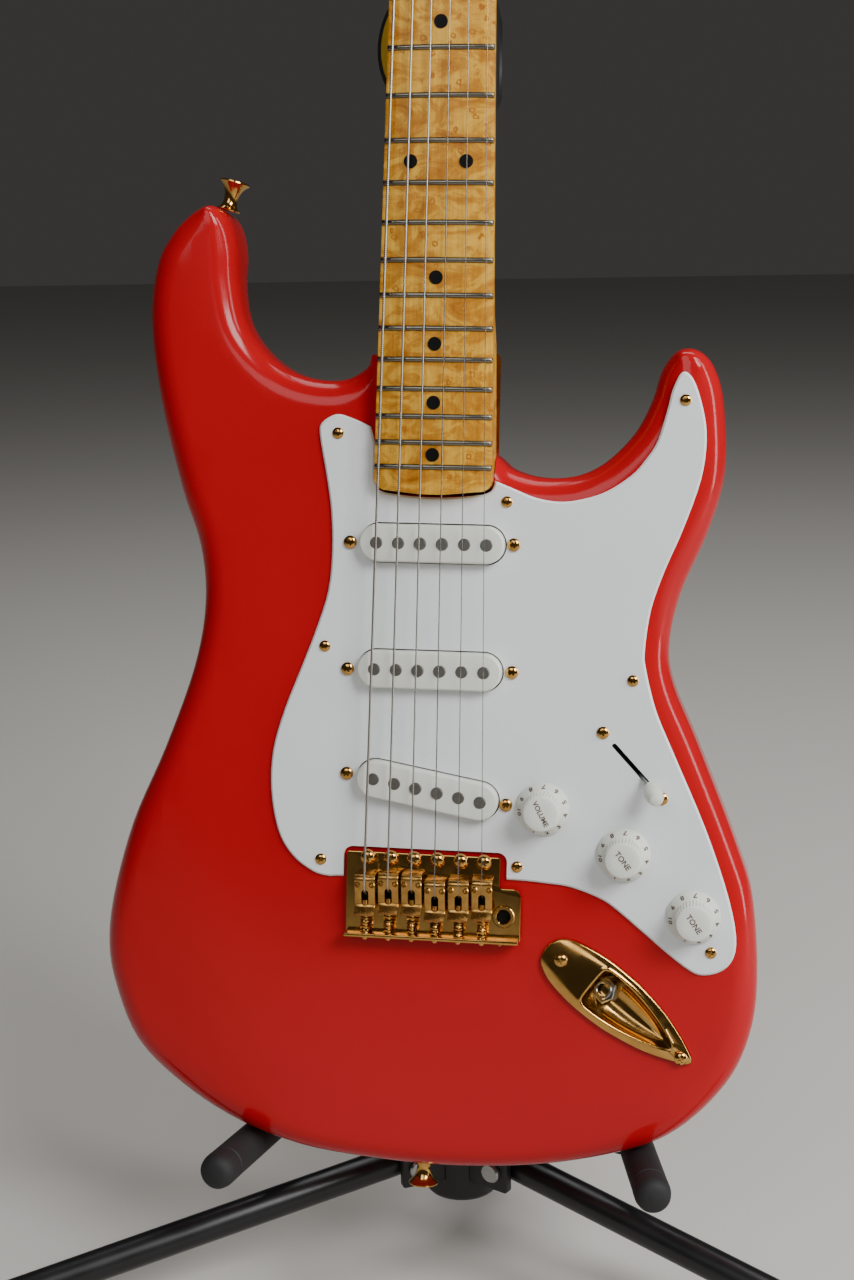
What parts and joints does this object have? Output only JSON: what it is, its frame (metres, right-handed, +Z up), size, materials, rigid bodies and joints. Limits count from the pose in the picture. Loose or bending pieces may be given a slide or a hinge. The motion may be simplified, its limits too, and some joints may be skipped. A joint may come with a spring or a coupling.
{
  "type": "electric guitar on stand",
  "caption": "Solid-body electric guitar with a tremolo bridge, leaning on a folding tripod stand with a padded neck fork and soft support arms.",
  "frame": {"origin": "centre of the stand's footprint on the floor", "axes": "+Z up, -Y towards the player's side that the guitar faces, +X towards the thin strings' side"},
  "size_m": [0.5562, 0.4683, 1.0589],
  "materials": {
    "red_lacquer": "gloss lacquer",
    "maple": "satin lacquer",
    "white_plastic": "smooth",
    "pale_plastic": "smooth",
    "gold": "polished gold plate",
    "nickel_steel": "bright wire",
    "steel": "bright",
    "bone": "smooth",
    "black_tube": "semi-gloss",
    "black_plastic": "moulded",
    "rubber": "matt",
    "badge": "satin"
  },
  "bodies": {
    "stand": {"stand_hub": "black_plastic", "shaft_lower": "black_tube", "height_clutch": "black_plastic", "clutch_badge": "badge", "arm_bracket": "black_plastic"},
    "leg_left": {"leg_left": "black_tube", "foot_left": "rubber"},
    "leg_right": {"leg_right": "black_tube", "foot_right": "rubber"},
    "leg_rear": {"leg_rear": "black_tube", "foot_rear": "rubber"},
    "neck_support": {"shaft_upper": "steel", "neck_yoke": "rubber"},
    "arm_left": {"arm_left": "black_tube", "arm_sleeve_left": "rubber"},
    "arm_right": {"arm_right": "black_tube", "arm_sleeve_right": "rubber"},
    "guitar": {"guitar_body": "red_lacquer", "neck": "maple", "nut": "bone", "pickguard": "white_plastic", "back_cover": "white_plastic", "neck_plate": "gold", "jack_plate": "gold", "output_jack": "steel", "upper_strap_button": "gold", "lower_strap_button": "gold", "pickup_cover_neck": "pale_plastic", "pickup_cover_middle": "pale_plastic", "pickup_cover_bridge": "pale_plastic", "pickup_coil_neck": "steel", "pickup_coil_middle": "steel", "pickup_coil_bridge": "steel", "selector_switch": "steel", "tuner_plate": "gold", "string_1": "nickel_steel", "string_2": "nickel_steel", "string_3": "nickel_steel", "string_4": "nickel_steel", "string_5": "nickel_steel", "string_6": "nickel_steel"},
    "volume_knob": {"volume_knob": "pale_plastic"},
    "tone_knob_neck": {"tone_knob_neck": "pale_plastic"},
    "tone_knob_middle": {"tone_knob_middle": "pale_plastic"},
    "selector": {"selector_lever": "steel", "selector_tip": "pale_plastic"},
    "bridge": {"bridge_plate": "gold", "tremolo_block": "steel", "saddle_1": "gold", "saddle_2": "gold", "saddle_3": "gold", "saddle_4": "gold", "saddle_5": "gold", "saddle_6": "gold"},
    "tuner_1": {"tuner_button_1": "gold"},
    "tuner_2": {"tuner_button_2": "gold"},
    "tuner_3": {"tuner_button_3": "gold"},
    "tuner_4": {"tuner_button_4": "gold"},
    "tuner_5": {"tuner_button_5": "gold"},
    "tuner_6": {"tuner_button_6": "gold"}
  },
  "joints": [
    {"name": "guitar_lift_off", "type": "slide", "parent": "stand", "child": "guitar", "axis": [0, -0.9877, 0.1564], "range_m": [0, 0.2]},
    {"name": "neck_support_height", "type": "slide", "parent": "stand", "child": "neck_support", "axis": [0, 0.1564, 0.9877], "range_m": [-0.12, 0.03]},
    {"name": "leg_left_fold", "type": "hinge", "parent": "stand", "child": "leg_left", "pos_m": [-0.02605, -0.09263, 0.056], "axis": [0.4695, -0.8829, 0], "range_deg": [0, 75]},
    {"name": "leg_right_fold", "type": "hinge", "parent": "stand", "child": "leg_right", "pos_m": [0.02605, -0.09263, 0.056], "axis": [0.4695, 0.8829, 0], "range_deg": [0, 75]},
    {"name": "leg_rear_fold", "type": "hinge", "parent": "stand", "child": "leg_rear", "pos_m": [0, -0.04928, 0.056], "axis": [-1, 0, 0], "range_deg": [0, 75]},
    {"name": "arm_left_swing", "type": "hinge", "parent": "stand", "child": "arm_left", "pos_m": [-0.089, -0.0901, 0.08018], "axis": [0, -0.1564, -0.9877], "range_deg": [0, 60]},
    {"name": "arm_right_swing", "type": "hinge", "parent": "stand", "child": "arm_right", "pos_m": [0.089, -0.0901, 0.08018], "axis": [0, 0.1564, 0.9877], "range_deg": [0, 60]},
    {"name": "volume_knob_turn", "type": "hinge", "parent": "guitar", "child": "volume_knob", "pos_m": [0.05025, -0.13731, 0.26731], "axis": [0, -0.9877, 0.1564], "range_deg": [0, 300]},
    {"name": "tone_knob_neck_turn", "type": "hinge", "parent": "guitar", "child": "tone_knob_neck", "pos_m": [0.08883, -0.14062, 0.2464], "axis": [0, -0.9877, 0.1564], "range_deg": [0, 300]},
    {"name": "tone_knob_middle_turn", "type": "hinge", "parent": "guitar", "child": "tone_knob_middle", "pos_m": [0.12206, -0.14514, 0.21788], "axis": [0, -0.9877, 0.1564], "range_deg": [0, 300]},
    {"name": "selector_throw", "type": "hinge", "parent": "guitar", "child": "selector", "pos_m": [0.09239, -0.11627, 0.28571], "axis": [0.7408, 0.1051, 0.6634], "range_deg": [-55, 0]},
    {"name": "tremolo_tilt", "type": "hinge", "parent": "guitar", "child": "bridge", "pos_m": [-0.00588, -0.14164, 0.2419], "axis": [-0.9998, 0.0031, 0.0198], "range_deg": [-2.5, 8], "stiffness_Nm_per_rad": 25, "deforming": ["string_1", "string_2", "string_3", "string_4", "string_5", "string_6"]},
    {"name": "tuner_1_turn", "type": "hinge", "parent": "guitar", "child": "tuner_1", "pos_m": [-0.02436, -0.01668, 0.91069], "axis": [-0.9953, 0.0151, 0.0952], "continuous": true},
    {"name": "tuner_2_turn", "type": "hinge", "parent": "guitar", "child": "tuner_2", "pos_m": [-0.02204, -0.01293, 0.93435], "axis": [-0.9953, 0.0151, 0.0952], "continuous": true},
    {"name": "tuner_3_turn", "type": "hinge", "parent": "guitar", "child": "tuner_3", "pos_m": [-0.01972, -0.00918, 0.95801], "axis": [-0.9953, 0.0151, 0.0952], "continuous": true},
    {"name": "tuner_4_turn", "type": "hinge", "parent": "guitar", "child": "tuner_4", "pos_m": [-0.0174, -0.00543, 0.98168], "axis": [-0.9953, 0.0151, 0.0952], "continuous": true},
    {"name": "tuner_5_turn", "type": "hinge", "parent": "guitar", "child": "tuner_5", "pos_m": [-0.01508, -0.00168, 1.00534], "axis": [-0.9953, 0.0151, 0.0952], "continuous": true},
    {"name": "tuner_6_turn", "type": "hinge", "parent": "guitar", "child": "tuner_6", "pos_m": [-0.01276, 0.00206, 1.029], "axis": [-0.9953, 0.0151, 0.0952], "continuous": true}
  ]
}
